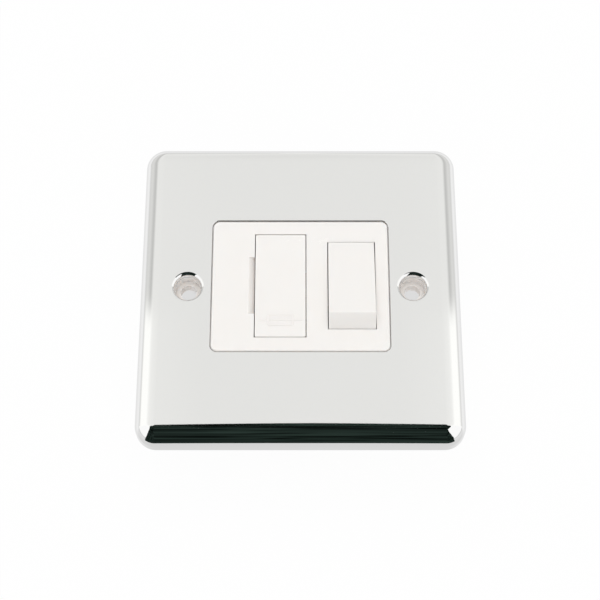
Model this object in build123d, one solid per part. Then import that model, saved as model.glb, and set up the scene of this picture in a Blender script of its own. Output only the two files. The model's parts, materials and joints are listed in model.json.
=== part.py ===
from build123d import *
import os
from math import asin, copysign, cos, hypot, radians, sin

# Switched fused connection unit: a pressed metal plate on a moulded body, with a rocker
# that switches both poles and a pull-out carrier that holds one cartridge fuse.
# Millimetres. The wall is the plane z = 0, +Z leaves the wall and +Y runs up it.
# Shown switched off, with the carrier pushed home and the terminal screws backed out.

# Pressed plate
PLATE_SIZE = 86.0
PLATE_DEPTH = 7.5
PLATE_SHEET = 1.0
PLATE_EDGE_R = 4.6
PLATE_CORNER_R = 5.6
OPENING_W = 47.8
OPENING_H = 38.1
OPENING_R = 2.0

# Drawn cups for the two wall screws
FIXING_PITCH = 60.3
CUP_R = 3.5
CUP_DROP = 1.4
CUP_ROLL_R = 1.0
CUP_GAP = 0.3
WALL_SCREW_R = 2.15
WALL_SCREW_GUIDE = 3.2
SCREW_TUBE_R = 3.4
FIXING_BOSS_R = 6.5

# Moulded front: the insert stands a little above the line of the wall screws
INSERT_Y = 0.55
INSERT_GAP = 0.22
INSERT_EDGE_R = 0.5
SEAT_GAP = 0.1
LINER_WALL = 2.0
LINER_RIB = 1.2
FACE_WALL = 2.4
SHROUD_WALL = 1.2
SHROUD_GAP = 0.3
NOTCH_W = 1.55
NOTCH_H = 16.5
NOTCH_DROP = 1.6

# Cartridge fuse
FUSE_LENGTH = 25.4
FUSE_CAP_R = 3.175
FUSE_CAP_L = 5.6
FUSE_CAP_WALL = 0.4
FUSE_BARREL_R = 2.85
FUSE_FIT = 0.06

# Fuse carrier and the clips that the fuse caps slide out of
CARRIER_X = -5.35
CARRIER_W = 13.5
CARRIER_GAP = 0.2
CARRIER_FRONT = 2.4
CARRIER_LEG = 1.2
CARRIER_LEG_W = 9.0
CARRIER_LEG_DROP = 7.2
CARRIER_EDGE_R = 0.4
CRADLE_H = 11.0
CRADLE_WALL = 1.3
CRADLE_LIP = 1.5
PRY_GROOVE = 0.7
FUSE_END_GAP = 0.9
FUSE_TOP_GAP = 0.4
CLIP_METAL = 0.6
CLIP_W = 4.5
CLIP_GAP = 0.1
CLIP_BEND_R = 0.7
CLIP_DROP = 1.2
CLIP_RISER = 5.5

# Rocker, its trunnions and its two sprung plungers
ROCKER_W = 12.45
ROCKER_OPENING_H = 25.4
ROCKER_GAP = 0.22
ROCKER_END_GAP = 0.18
ROCKER_WALL = 1.4
ROCKER_SKIRT = 1.5
ROCKER_EDGE_R = 0.4
ROCKER_THROW = 21.0
PIVOT_DEPTH = 6.3
TRUNNION_R = 1.5
TRUNNION_L = 1.2
TRUNNION_FIT = 0.06
POLE_PITCH = 6.4
PLUNGER_R = 1.3
PLUNGER_REACH = 9.0
PLUNGER_L = 8.4
PLUNGER_FIT = 0.1
PLUNGER_GAP = 0.08
TUBE_WALL = 0.9
TUBE_DROP = 4.6
SPRING_L = 5.4
SPRING_WIRE_R = 0.2
SPRING_PITCH = 1.2

# Contact arms that see-saw on a round-topped fulcrum
ARM_W = 4.0
ARM_TAIL = 7.0
ARM_REACH = 9.5
ARM_SWING = 18.0
ARM_BED = 0.6
ARM_UNDER = 0.25
TRACK_DEPTH = 0.35
FULCRUM_R = 0.8
FULCRUM_FIT = 0.06
TIP_R = 1.7
TIP_H = 0.9
TIP_DOME_R = 3.2
FIXED_TIP_H = 0.6
CONTACT_GAP = 0.06

# Terminals, their screws and the earth link
TERMINAL_W = 9.0
TERMINAL_L = 8.0
TERMINAL_SETBACK = 1.5
TERMINAL_EDGE_R = 0.6
WIRE_R = 2.2
WIRE_ROOF = 1.4
BUS_W = 4.0
BUS_METAL = 1.0
BUS_BEND_R = 1.0
EARTH_CLEARANCE = 3.0
EARTH_METAL = 0.8
EARTH_W = 5.0
EARTH_FOOT = 5.5
STRAP_METAL = 0.6
STRAP_GAP = 0.3
STRAP_BEND_R = 0.5
SCREW_R = 1.9
SCREW_FIT = 0.06
SCREW_L = 5.6
SCREW_HEAD_R = 3.0
SCREW_HEAD_H = 1.8
SCREW_SLOT = 0.8
SCREW_BACKED_OUT = 0.2
SCREW_COVER = 0.4

# Rear housing
HOUSING_W = 46.6
HOUSING_WALL = 1.6
HOUSING_CORNER_R = 2.0
HOUSING_EDGE_R = 0.8
BAY_BEVEL = 3.5
CAVITY_MARGIN = 0.3
ROCKER_SIDE_GAP = 0.35
TERMINAL_SIDE_GAP = 1.9
SHELF_DROP = 11.7
TAIL_SLOT_GAP = 0.2
BARRIER_WALL = 1.2
BARRIER_RISE = 2.0

# Assembly screws, which draw the housing up to pillars on the back of the plate
PILLAR_X = 15.0
PILLAR_OFFSET = 3.8
PILLAR_R = 2.3
PILLAR_RISE = 1.0
PILLAR_FIT = 0.1
PILLAR_BOSS_WALL = 1.2
EAR_WALL = 2.5
EAR_R = 3.8
ASSEMBLY_SCREW_R = 1.4
ASSEMBLY_SCREW_L = 7.0
ASSEMBLY_HEAD_R = 2.7
ASSEMBLY_HEAD_H = 1.7

# Levels, from the face down to the back
FACE_Z = PLATE_DEPTH
SHEET_BACK = FACE_Z - PLATE_SHEET
LINER_TOP = SHEET_BACK - SEAT_GAP
LINER_UNDER = LINER_TOP - LINER_WALL
FACE_UNDER = FACE_Z - FACE_WALL
CUP_FLOOR = FACE_Z - CUP_DROP
PIVOT_Z = FACE_Z - PIVOT_DEPTH
CARRIER_UNDER = FACE_Z - CARRIER_FRONT
FUSE_Z = CARRIER_UNDER - FUSE_TOP_GAP - FUSE_CAP_R
CLIP_TOP = FUSE_Z - FUSE_CAP_R - CLIP_DROP
CLIP_SEAT = CLIP_TOP - CLIP_METAL
SHROUD_END = CLIP_TOP + SHROUD_GAP
SHELF_TOP = FACE_Z - SHELF_DROP
SHELF_UNDER = SHELF_TOP - HOUSING_WALL

# Plan across the housing: the rocker and the outer terminals stand off its side walls
CAVITY_HALF_W = HOUSING_W / 2 - HOUSING_WALL
ROCKER_X = CAVITY_HALF_W - ROCKER_SIDE_GAP - SHROUD_WALL - ROCKER_GAP - ROCKER_W / 2
TERMINAL_PITCH = CAVITY_HALF_W - TERMINAL_SIDE_GAP - TERMINAL_W / 2

# Rocker: an arc-ended bar whose pressed end lies flush with the face
WELL_R = hypot(ROCKER_OPENING_H / 2, PIVOT_DEPTH)
ROCKER_R = WELL_R - ROCKER_END_GAP
HALF_THROW = radians(ROCKER_THROW / 2)
ROCKER_FACE = ROCKER_R * sin(asin(PIVOT_DEPTH / ROCKER_R) + HALF_THROW)
TUBE_R = PLUNGER_R + PLUNGER_FIT + TUBE_WALL
PLUNGER_TOP = PLUNGER_L - PLUNGER_REACH
BORE_TOP = PLUNGER_TOP + SPRING_L

# Contact arm: its dished track follows the plunger's ball as rocker and arm tilt together
HALF_SWING = radians(ARM_SWING / 2)
BALL_DROP = PLUNGER_REACH - PLUNGER_R
FULCRUM_DROP = PLUNGER_REACH + PLUNGER_GAP + ARM_BED + FULCRUM_FIT + FULCRUM_R
FULCRUM_Z = PIVOT_Z - FULCRUM_DROP
BALL_MID = FULCRUM_DROP - BALL_DROP
BALL_END = FULCRUM_DROP - BALL_DROP * cos(HALF_THROW)
BALL_SIDE = BALL_END * sin(HALF_SWING) - BALL_DROP * sin(HALF_THROW) * cos(HALF_SWING)
BALL_RISE = BALL_DROP * sin(HALF_THROW) * sin(HALF_SWING) + BALL_END * cos(HALF_SWING) - BALL_MID
TRACK_PATH_R = (BALL_SIDE**2 + BALL_RISE**2) / (2 * BALL_RISE)
TRACK_R = TRACK_PATH_R + PLUNGER_R + PLUNGER_GAP
TRACK_Z = BALL_MID + TRACK_PATH_R
ARM_TOP = TRACK_Z - TRACK_R + TRACK_DEPTH

# Fixed contacts: under the moving tips as they stand when switched on
DOME_Z = ARM_UNDER - TIP_H + TIP_DOME_R
CONTACT_Y = INSERT_Y + ARM_REACH * cos(HALF_SWING) + DOME_Z * sin(HALF_SWING)
CONTACT_Z = FULCRUM_Z - ARM_REACH * sin(HALF_SWING) + DOME_Z * cos(HALF_SWING) - TIP_DOME_R - CONTACT_GAP
BUS_TOP = CONTACT_Z - FIXED_TIP_H
BUS_UNDER = BUS_TOP - BUS_METAL
LIVE_X = ROCKER_X - POLE_PITCH / 2
NEUTRAL_X = ROCKER_X + POLE_PITCH / 2

# Terminals and the plan up the housing
WIRE_Z = SHELF_UNDER - WIRE_ROOF - WIRE_R
TERMINAL_UNDER = BUS_UNDER - EARTH_CLEARANCE
SCREW_TIP = WIRE_Z - WIRE_R - SCREW_BACKED_OUT
SCREW_HEAD_TOP = SCREW_TIP - SCREW_L
SCREW_END = SCREW_HEAD_TOP - SCREW_HEAD_H
FLOOR_TOP = TERMINAL_UNDER - EARTH_METAL
HOUSING_BACK = min(FLOOR_TOP - HOUSING_WALL, SCREW_END - SCREW_COVER)
CAVITY_HALF_H = max(FUSE_LENGTH / 2, CONTACT_Y + TIP_R) + CAVITY_MARGIN
TERMINAL_INNER = CAVITY_HALF_H + HOUSING_WALL
TERMINAL_Y = TERMINAL_INNER + TERMINAL_L / 2
HOUSING_HALF_H = TERMINAL_INNER + TERMINAL_L + TERMINAL_SETBACK
STRAP_Y = HOUSING_HALF_H + STRAP_GAP + STRAP_METAL / 2
PILLAR_Y = HOUSING_HALF_H + PILLAR_OFFSET
PILLARS = [(x, y) for x in (-PILLAR_X, PILLAR_X) for y in (-PILLAR_Y, PILLAR_Y)]
FIXINGS = (-FIXING_PITCH / 2, FIXING_PITCH / 2)

# Carrier and its well
CARRIER_H = FUSE_LENGTH + 2 * (FUSE_END_GAP + CARRIER_LEG)
WELL_W = CARRIER_W + 2 * CARRIER_GAP
WELL_H = CARRIER_H + 2 * CARRIER_GAP
CLIP_Y = (FUSE_LENGTH - FUSE_CAP_L) / 2


def around(centre, width):
    """The two limits of a width about its centre."""
    return (centre - width / 2, centre + width / 2)


def block(x, y, z):
    """A block between three pairs of limits."""
    return Pos(sum(x) / 2, sum(y) / 2, sum(z) / 2) * Box(x[1] - x[0], y[1] - y[0], z[1] - z[0])


def rod_x(y, z, radius, x):
    """A round bar along X."""
    return Pos(sum(x) / 2, y, z) * Rot(0, 90, 0) * Cylinder(radius, x[1] - x[0])


def rod_y(x, z, radius, y):
    """A round bar along Y."""
    return Pos(x, sum(y) / 2, z) * Rot(90, 0, 0) * Cylinder(radius, y[1] - y[0])


def rod_z(x, y, radius, z):
    """A round bar along Z."""
    return Pos(x, y, sum(z) / 2) * Cylinder(radius, z[1] - z[0])


def rounded_block(width, height, radius, z):
    """A block centred on the Z axis, with its four upright edges rounded."""
    return Pos(0, 0, z[0]) * extrude(RectangleRounded(width, height, radius), z[1] - z[0])


def flat_strip(points, width, z):
    """A strip cut flat from sheet, following a path in plan, with rounded turns."""
    turn = width / 2 + BUS_BEND_R
    path = Polyline(*points) if len(points) == 2 else FilletPolyline(*points, radius=turn)
    return Pos(0, 0, z[0]) * extrude(trace(path, width), z[1] - z[0])


def bent_strip(points, metal, width, plane, bend):
    """A strip bent from sheet: the path of its middle line, carried across its width."""
    return extrude(plane * trace(FilletPolyline(*points, radius=bend), metal), width / 2, both=True)


def plate_form(inset):
    """The plate's outer form with its rolled edge, or the same form set in by the sheet."""
    size = PLATE_SIZE - 2 * inset
    form = rounded_block(size, size, PLATE_CORNER_R - inset, (0, PLATE_DEPTH - inset))
    return fillet(form.edges().group_by(Axis.Z)[-1], PLATE_EDGE_R - inset)


def face_plate():
    """Pressed shell with its opening, two drawn screw cups and four tapped pillars."""
    plate = plate_form(0) - plate_form(PLATE_SHEET)
    plate -= Pos(0, INSERT_Y, 0) * rounded_block(OPENING_W, OPENING_H, OPENING_R, (0, FACE_Z))
    for x in FIXINGS:
        plate += rod_z(x, 0, CUP_R + PLATE_SHEET, (CUP_FLOOR, SHEET_BACK))
        plate -= rod_z(x, 0, CUP_R, (CUP_FLOOR, FACE_Z))
    arcs = plate.edges().filter_by(GeomType.CIRCLE).group_by(Axis.Z)[-1]
    flat_left = PLATE_SIZE / 2 - PLATE_EDGE_R - FIXING_PITCH / 2 - CUP_R
    roll = min(CUP_ROLL_R, flat_left - SEAT_GAP)
    plate = fillet(arcs.filter_by(lambda arc: arc.is_closed), roll)
    for x, y in PILLARS:
        plate += rod_z(x, y, PILLAR_R, (PILLAR_RISE, SHEET_BACK))
        plate -= rod_z(x, y, ASSEMBLY_SCREW_R + SCREW_FIT, (PILLAR_RISE, LINER_TOP))
    return plate


def liner():
    """Tray behind the plate: a web, a rim that meets the wall, and bosses ribbed to the rim."""
    size = PLATE_SIZE - 2 * PLATE_EDGE_R - 2 * INSERT_GAP
    corner = PLATE_CORNER_R - PLATE_EDGE_R
    tray = rounded_block(size, size, corner, (0, LINER_TOP))
    inner = size - 2 * LINER_WALL
    tray -= rounded_block(inner, inner, corner, (0, LINER_UNDER))
    depth = (0, LINER_UNDER)
    for x in FIXINGS:
        tray += rod_z(x, 0, FIXING_BOSS_R, depth)
        tray += block(sorted((x, copysign(inner / 2, x))), around(0, LINER_RIB), depth)
    for x, y in PILLARS:
        tray += rod_z(x, y, PILLAR_R + PILLAR_FIT + PILLAR_BOSS_WALL, depth)
        tray += block(around(x, LINER_RIB), sorted((y, copysign(inner / 2, y))), depth)
    return tray


def fixing_hole(x):
    """Clearance for a drawn cup, below it a tube for the screw's head, and a hole for its shank."""
    cup_seat = CUP_FLOOR - CUP_GAP
    hole = rod_z(x, 0, CUP_R + PLATE_SHEET + CUP_GAP, (cup_seat, LINER_TOP))
    hole += rod_z(x, 0, SCREW_TUBE_R, (WALL_SCREW_GUIDE, cup_seat))
    return hole + rod_z(x, 0, WALL_SCREW_R, (0, WALL_SCREW_GUIDE))


def rocker_well():
    """Room for the rocker's arc ends: round above the pivot and straight below it."""
    x = around(ROCKER_X, ROCKER_W + 2 * ROCKER_GAP)
    well = rod_x(INSERT_Y, PIVOT_Z, WELL_R, x)
    return well + block(x, around(INSERT_Y, 2 * WELL_R), (SHROUD_END, PIVOT_Z))


def pry_notch():
    """Ramp in the face that leads a fingernail or a blade to the side of the carrier."""
    edge = CARRIER_X - WELL_W / 2
    ramp = Polyline((edge - NOTCH_W, FACE_Z), (edge, FACE_Z), (edge, FACE_Z - NOTCH_DROP), close=True)
    return Pos(0, INSERT_Y, 0) * extrude(Plane.XZ * make_face(ramp), NOTCH_H / 2, both=True)


def front_moulding():
    """Insert that shows in the plate, with the liner, the two wells and the pry notch."""
    width = OPENING_W - 2 * INSERT_GAP
    height = OPENING_H - 2 * INSERT_GAP
    insert = rounded_block(width, height, OPENING_R - INSERT_GAP, (LINER_UNDER, FACE_Z))
    insert = fillet(insert.edges().group_by(Axis.Z)[-1], INSERT_EDGE_R)
    place = Pos(0, INSERT_Y, 0)
    moulding = liner() + place * insert
    core = (width - 2 * LINER_WALL, height - 2 * LINER_WALL)
    moulding -= place * rounded_block(*core, OPENING_R, (LINER_UNDER, FACE_UNDER))
    shroud = 2 * SHROUD_WALL
    depth = (SHROUD_END, FACE_UNDER)
    moulding += block(around(CARRIER_X, WELL_W + shroud), around(INSERT_Y, WELL_H + shroud), depth)
    rocker_x = around(ROCKER_X, ROCKER_W + 2 * ROCKER_GAP + shroud)
    moulding += block(rocker_x, around(INSERT_Y, 2 * WELL_R + shroud), depth)
    moulding -= block(around(CARRIER_X, WELL_W), around(INSERT_Y, WELL_H), (SHROUD_END, FACE_Z))
    moulding -= rocker_well()
    moulding -= rod_x(INSERT_Y, PIVOT_Z, TRUNNION_R + TRUNNION_FIT, rocker_x)
    moulding -= pry_notch()
    for x in FIXINGS:
        moulding -= fixing_hole(x)
    for x, y in PILLARS:
        moulding -= rod_z(x, y, PILLAR_R + PILLAR_FIT, (0, LINER_TOP))
    slot_x = around(0, EARTH_W + 2 * STRAP_GAP)
    leg = around(STRAP_Y, STRAP_METAL + 2 * STRAP_GAP)
    foot = (leg[0], STRAP_Y + EARTH_FOOT + STRAP_GAP)
    moulding -= block(slot_x, leg, (LINER_UNDER, LINER_TOP))
    moulding -= block(slot_x, foot, (SHEET_BACK - STRAP_METAL - STRAP_GAP, LINER_TOP))
    return moulding


def tail_slot(x, side):
    """Slot in the cavity wall where a terminal's tail passes through."""
    z = (BUS_UNDER - TAIL_SLOT_GAP, BUS_TOP + TAIL_SLOT_GAP)
    wall = sorted((side * CAVITY_HALF_H, side * TERMINAL_INNER))
    return block(around(x, BUS_W + 2 * TAIL_SLOT_GAP), wall, z)


def ear(x, side):
    """Lug on the side of the housing that takes an assembly screw."""
    y = sorted((side * (HOUSING_HALF_H - HOUSING_WALL), side * PILLAR_Y))
    lug = block(around(x, 2 * EAR_R), y, (-EAR_WALL, 0))
    lug += rod_z(x, side * PILLAR_Y, EAR_R, (-EAR_WALL, 0))
    return lug - rod_z(x, side * PILLAR_Y, ASSEMBLY_SCREW_R + PILLAR_FIT, (-EAR_WALL, 0))


def bay_wall(x):
    """Upright wall between two terminal bays, from end to end, with its outer corners bevelled."""
    end, low = HOUSING_HALF_H, HOUSING_BACK + BAY_BEVEL
    tip = end - BAY_BEVEL
    corners = ((end, SHELF_UNDER), (end, low), (tip, HOUSING_BACK))
    mirrored = tuple((-y, z) for y, z in reversed(corners))
    side = make_face(Polyline(*corners, *mirrored, close=True))
    return Pos(x, 0, 0) * extrude(Plane.YZ * side, HOUSING_WALL / 2, both=True)


def rear_housing():
    """Moulded cup behind the plate, with open terminal bays along its top and bottom."""
    full = 2 * HOUSING_HALF_H
    spine = 2 * TERMINAL_INNER
    housing = rounded_block(HOUSING_W, full, HOUSING_CORNER_R, (SHELF_UNDER, LINER_UNDER))
    back = rounded_block(HOUSING_W, spine, HOUSING_CORNER_R, (HOUSING_BACK, SHELF_UNDER))
    housing += fillet(back.edges().group_by(Axis.Z)[0], HOUSING_EDGE_R)
    for x in around(0, HOUSING_W - HOUSING_WALL) + around(0, TERMINAL_PITCH):
        housing += bay_wall(x)
    width = 2 * CAVITY_HALF_W
    inner_r = HOUSING_CORNER_R - HOUSING_WALL
    housing -= rounded_block(width, full - 2 * HOUSING_WALL, inner_r, (SHELF_TOP, LINER_UNDER))
    housing -= rounded_block(width, 2 * CAVITY_HALF_H, inner_r, (FLOOR_TOP, SHELF_TOP))
    for side in (-1, 1):
        y = around(INSERT_Y + side * CLIP_Y, CLIP_W)
        housing += block(around(CARRIER_X, 2 * FUSE_CAP_R), y, (FLOOR_TOP, CLIP_SEAT))
    barrier = (FLOOR_TOP, BUS_TOP + BARRIER_RISE)
    housing += block(around(ROCKER_X, BARRIER_WALL), around(0, 2 * CAVITY_HALF_H), barrier)
    for x, side in ((-TERMINAL_PITCH, 1), (-TERMINAL_PITCH, -1), (NEUTRAL_X, 1), (NEUTRAL_X, -1)):
        housing -= tail_slot(x, side)
    link = around(0, EARTH_W + 2 * TAIL_SLOT_GAP)
    housing -= block(link, around(0, spine), (FLOOR_TOP, TERMINAL_UNDER + TAIL_SLOT_GAP))
    for x in (-PILLAR_X, PILLAR_X):
        for side in (-1, 1):
            housing += ear(x, side)
    return housing


def terminal_block(x, side, top):
    """Brass block, drilled along Y for the wire and tapped from the back for its screw."""
    y = side * TERMINAL_Y
    form = extrude(RectangleRounded(TERMINAL_W, TERMINAL_L, TERMINAL_EDGE_R), top - TERMINAL_UNDER)
    form = Pos(x, y, TERMINAL_UNDER) * form
    form -= rod_y(x, WIRE_Z, WIRE_R, around(y, TERMINAL_L))
    return form - rod_z(x, y, SCREW_R + SCREW_FIT, (TERMINAL_UNDER, WIRE_Z))


def fulcrum(x):
    """Upright with a round top that a contact arm rocks on."""
    form = block(around(x, BUS_W), around(INSERT_Y, 2 * FULCRUM_R), (BUS_UNDER, FULCRUM_Z))
    return form + rod_x(INSERT_Y, FULCRUM_Z, FULCRUM_R, around(x, BUS_W))


def live_supply_terminal():
    """Incoming live: block, flat bus across the cavity and the live fulcrum."""
    end = LIVE_X + BUS_W / 2
    path = ((-TERMINAL_PITCH, TERMINAL_INNER), (-TERMINAL_PITCH, INSERT_Y), (end, INSERT_Y))
    bus = flat_strip(path, BUS_W, (BUS_UNDER, BUS_TOP))
    return terminal_block(-TERMINAL_PITCH, 1, SHELF_UNDER) + bus + fulcrum(LIVE_X)


def live_load_terminal():
    """Outgoing live: block with a tail that the lower fuse clip lies on."""
    path = ((-TERMINAL_PITCH, -TERMINAL_INNER), (-TERMINAL_PITCH, INSERT_Y + CLIP_W / 2 - CLIP_Y))
    tail = flat_strip(path, BUS_W, (BUS_UNDER, BUS_TOP))
    return terminal_block(-TERMINAL_PITCH, -1, SHELF_UNDER) + tail


def neutral_supply_terminal():
    """Incoming neutral: block with a tail that carries the neutral fixed contact."""
    path = ((NEUTRAL_X, TERMINAL_INNER), (NEUTRAL_X, CONTACT_Y - BUS_W / 2))
    tail = flat_strip(path, BUS_W, (BUS_UNDER, BUS_TOP))
    return terminal_block(TERMINAL_PITCH, 1, SHELF_UNDER) + tail


def neutral_load_terminal():
    """Outgoing neutral: block with a tail that rises to the neutral fulcrum."""
    path = ((NEUTRAL_X, -TERMINAL_INNER), (NEUTRAL_X, INSERT_Y + FULCRUM_R))
    tail = flat_strip(path, BUS_W, (BUS_UNDER, BUS_TOP))
    return terminal_block(TERMINAL_PITCH, -1, SHELF_UNDER) + tail + fulcrum(NEUTRAL_X)


def earth_strap():
    """Bent strip from the upper earth terminal to a foot on the back of the plate."""
    foot_z = SHEET_BACK - STRAP_METAL / 2
    seat_z = SHELF_UNDER - STRAP_METAL / 2
    path = ((STRAP_Y + EARTH_FOOT, foot_z), (STRAP_Y, foot_z), (STRAP_Y, seat_z), (TERMINAL_INNER, seat_z))
    return bent_strip(path, STRAP_METAL, EARTH_W, Plane.YZ, STRAP_BEND_R)


def earth_link():
    """Bar on the housing floor that joins the two earth terminals."""
    z = (FLOOR_TOP, TERMINAL_UNDER)
    bar = flat_strip(((0, -TERMINAL_Y), (0, TERMINAL_Y)), EARTH_W, z)
    for y in (-TERMINAL_Y, TERMINAL_Y):
        bar += rod_z(0, y, TERMINAL_W / 2, z)
        bar -= rod_z(0, y, SCREW_R + SCREW_FIT, z)
    return bar


def slotted_screw(radius, length, head_r, head_h):
    """Screw that points up, with the top of its slotted cheese head at z = 0."""
    head = Pos(0, 0, -head_h / 2) * Cylinder(head_r, head_h)
    head = fillet(head.edges().group_by(Axis.Z)[0], head_h / 4)
    head -= block(around(0, 2 * head_r), around(0, SCREW_SLOT), (-head_h, SCREW_SLOT - head_h))
    shank = Pos(0, 0, length / 2) * Cylinder(radius, length)
    return head + chamfer(shank.edges().group_by(Axis.Z)[-1], radius / 4)


def terminal_screws():
    """One wire clamping screw to each terminal."""
    screw = slotted_screw(SCREW_R, SCREW_L, SCREW_HEAD_R, SCREW_HEAD_H)
    places = [(x, y) for x in (-TERMINAL_PITCH, 0, TERMINAL_PITCH) for y in (-TERMINAL_Y, TERMINAL_Y)]
    return Compound([Pos(x, y, SCREW_HEAD_TOP) * screw for x, y in places])


def assembly_screws():
    """Four screws through the housing's ears into the plate's pillars."""
    screw = slotted_screw(ASSEMBLY_SCREW_R, ASSEMBLY_SCREW_L, ASSEMBLY_HEAD_R, ASSEMBLY_HEAD_H)
    return Compound([Pos(x, y, -EAR_WALL) * screw for x, y in PILLARS])


def fuse_clip(side, run, level):
    """Sprung jaws on one fuse cap, with a strip that drops to the bus and runs along it."""
    jaw = FUSE_CAP_R + CLIP_GAP + CLIP_METAL / 2
    base = CLIP_TOP - CLIP_METAL / 2
    top = FUSE_Z + FUSE_CAP_R / 2
    mouth = (jaw + CLIP_METAL, FUSE_Z + FUSE_CAP_R)
    right = ((CARRIER_X + jaw, base), (CARRIER_X + jaw, top), (CARRIER_X + mouth[0], mouth[1]))
    left = ((CARRIER_X - mouth[0], mouth[1]), (CARRIER_X - jaw, top), (CARRIER_X - jaw, base))
    riser = CARRIER_X + (CLIP_RISER if run > CARRIER_X else -CLIP_RISER)
    strip = ((CARRIER_X, base), (riser, base), (riser, level), (run, level))
    across = Plane.XZ.offset(-INSERT_Y - side * CLIP_Y)
    jaws = bent_strip(left + right, CLIP_METAL, CLIP_W, across, CLIP_BEND_R)
    return jaws + bent_strip(strip, CLIP_METAL, CLIP_W, across, CLIP_BEND_R)


def contact_arm(x):
    """See-saw bar with a dished track on top and a round seat for the fulcrum below."""
    end = ARM_REACH + TIP_R
    profile = Pos((end - ARM_TAIL) / 2, (ARM_UNDER + ARM_TOP) / 2)
    profile = profile * Rectangle(end + ARM_TAIL, ARM_TOP - ARM_UNDER)
    profile -= Circle(FULCRUM_R + FULCRUM_FIT)
    profile -= Pos(0, TRACK_Z) * Circle(TRACK_R)
    arm = extrude(Plane.YZ * profile, ARM_W / 2, both=True)
    return arm_place(x) * arm


def moving_contact(x):
    """Domed tip under the upper end of a contact arm."""
    tip = rod_z(0, ARM_REACH, TIP_R, (ARM_UNDER - TIP_H, ARM_UNDER))
    return arm_place(x) * (tip & Pos(0, ARM_REACH, DOME_Z) * Sphere(TIP_DOME_R))


def fixed_contact(x):
    """Flat tip on a bus, where the moving contact comes down."""
    tip = rod_z(x, CONTACT_Y, TIP_R, (BUS_TOP, BUS_TOP + FIXED_TIP_H))
    return fillet(tip.edges().group_by(Axis.Z)[-1], FIXED_TIP_H / 3)


def arm_place(x):
    """Where a contact arm stands when switched off: upper end raised."""
    return Pos(x, INSERT_Y, FULCRUM_Z) * Rot(ARM_SWING / 2, 0, 0)


def rocker_place():
    """Where the rocker stands when switched off: upper end pressed in."""
    return Pos(ROCKER_X, INSERT_Y, PIVOT_Z) * Rot(-ROCKER_THROW / 2, 0, 0)


def rocker_form(inset):
    """Bar with a flat face and arc ends about the pivot, or the same set in by a wall."""
    x = around(0, ROCKER_W - 2 * inset)
    radius = ROCKER_R - inset
    return rod_x(0, 0, radius, x) & block(x, (-radius, radius), (-ROCKER_SKIRT, ROCKER_FACE - inset))


def rocker():
    """Hollow rocker with two trunnions and two tubes for the plungers."""
    outer = rocker_form(0)
    form = fillet(outer.faces().sort_by(Axis.Z)[-1].edges(), ROCKER_EDGE_R) - rocker_form(ROCKER_WALL)
    under_face = ROCKER_FACE - ROCKER_WALL
    form += rod_x(0, 0, TRUNNION_R, around(0, ROCKER_W + 2 * TRUNNION_L))
    form += block(around(0, ROCKER_W), around(0, ROCKER_WALL), (-ROCKER_SKIRT, under_face))
    poles = around(0, POLE_PITCH)
    for x in poles:
        form += rod_z(x, 0, TUBE_R, (-TUBE_DROP, under_face))
    for x in poles:
        form -= rod_z(x, 0, PLUNGER_R + PLUNGER_FIT, (-TUBE_DROP, BORE_TOP))
    return rocker_place() * form


def plunger(x):
    """Round-ended pin that the spring presses on to the arm's track."""
    pin = rod_z(x, 0, PLUNGER_R, (-BALL_DROP, PLUNGER_TOP)) + Pos(x, 0, -BALL_DROP) * Sphere(PLUNGER_R)
    return rocker_place() * pin


def spring(x):
    """Compression spring between a plunger and the end of its bore."""
    radius = PLUNGER_R - SPRING_WIRE_R
    path = Helix(SPRING_PITCH, SPRING_L - 2 * SPRING_WIRE_R, radius)
    section = Plane(path @ 0, z_dir=path % 0) * Circle(SPRING_WIRE_R)
    coil = sweep(section, path=path, is_frenet=True)
    return rocker_place() * Pos(x, 0, PLUNGER_TOP + SPRING_WIRE_R) * coil


def fuse_carrier():
    """Drawer front with two guide legs, and a cradle that snaps round the fuse barrel."""
    front = rounded_block(CARRIER_W, CARRIER_H, CARRIER_EDGE_R, (CARRIER_UNDER, FACE_Z))
    front = fillet(front.edges().group_by(Axis.Z)[-1], CARRIER_EDGE_R / 2)
    for side in (-1, 1):
        y = sorted((side * CARRIER_H / 2, side * (CARRIER_H / 2 - CARRIER_LEG)))
        front += block(around(0, CARRIER_LEG_W), y, (CARRIER_UNDER - CARRIER_LEG_DROP, CARRIER_UNDER))
    bore = FUSE_BARREL_R + FUSE_FIT
    cradle_w = 2 * (bore + CRADLE_WALL)
    cradle = block(around(0, cradle_w), around(0, CRADLE_H), (FUSE_Z - CRADLE_LIP, CARRIER_UNDER))
    front += cradle - rod_y(0, FUSE_Z, bore, around(0, CRADLE_H))
    edge = -CARRIER_W / 2
    groove = around(CARRIER_UNDER + CARRIER_FRONT / 2, PRY_GROOVE)
    front -= block((edge, edge + PRY_GROOVE), around(0, NOTCH_H), groove)
    return Pos(CARRIER_X, INSERT_Y, 0) * front


def fuse_barrel():
    """Ceramic tube, turned down at both ends to take the caps."""
    neck = FUSE_CAP_R - FUSE_CAP_WALL - FUSE_FIT
    barrel = rod_y(0, 0, neck, around(0, FUSE_LENGTH - 2 * FUSE_CAP_WALL))
    barrel += rod_y(0, 0, FUSE_BARREL_R, around(0, FUSE_LENGTH - 2 * FUSE_CAP_L - 2 * FUSE_FIT))
    return Pos(CARRIER_X, INSERT_Y, FUSE_Z) * barrel


def fuse_cap(side):
    """Plated cup on one end of the fuse."""
    end = FUSE_LENGTH / 2
    cap = rod_y(0, 0, FUSE_CAP_R, (end - FUSE_CAP_L, end))
    cap = fillet(cap.edges().group_by(Axis.Y)[-1], FUSE_CAP_WALL)
    cap -= rod_y(0, 0, FUSE_CAP_R - FUSE_CAP_WALL, (end - FUSE_CAP_L, end - FUSE_CAP_WALL))
    return Pos(CARRIER_X, INSERT_Y, FUSE_Z) * Rot(0, 0, 0 if side > 0 else 180) * cap


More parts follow.
